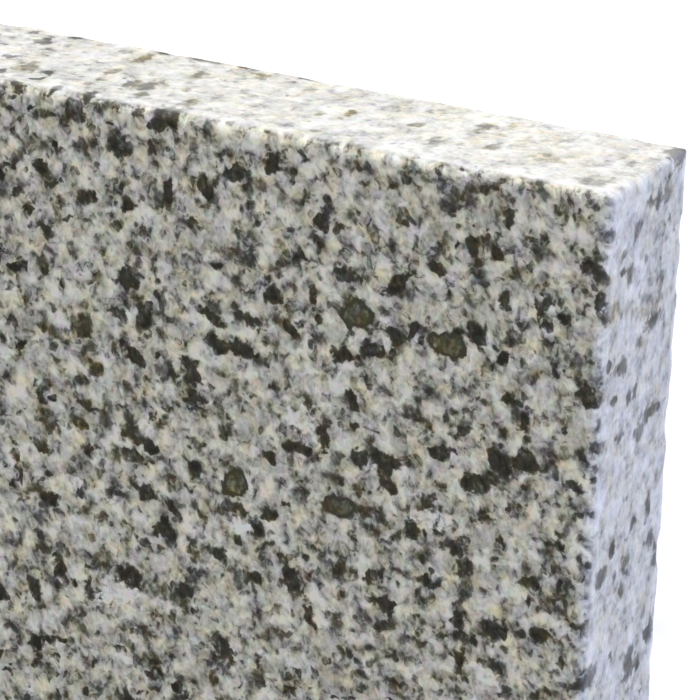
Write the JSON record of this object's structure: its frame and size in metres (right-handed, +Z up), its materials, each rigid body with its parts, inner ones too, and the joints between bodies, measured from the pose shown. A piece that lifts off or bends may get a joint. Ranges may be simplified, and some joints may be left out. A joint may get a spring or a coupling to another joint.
{
  "type": "granite tile",
  "caption": "Square grey granite paving tile lying flat, with a honed face, an eased face arris, sawn edges and a lightly chipped back arris.",
  "frame": {"origin": "middle of the sawn back, on the plane the tile is bedded on", "axes": "+Z up out of the honed face, +X along the length and +Y along the width; the corner in the picture is the one at +X and +Y"},
  "size_m": [0.4, 0.4, 0.03],
  "materials": {
    "granite": "honed face, sawn edges and back"
  },
  "bodies": {
    "root": {"granite_tile": "granite"}
  },
  "joints": []
}
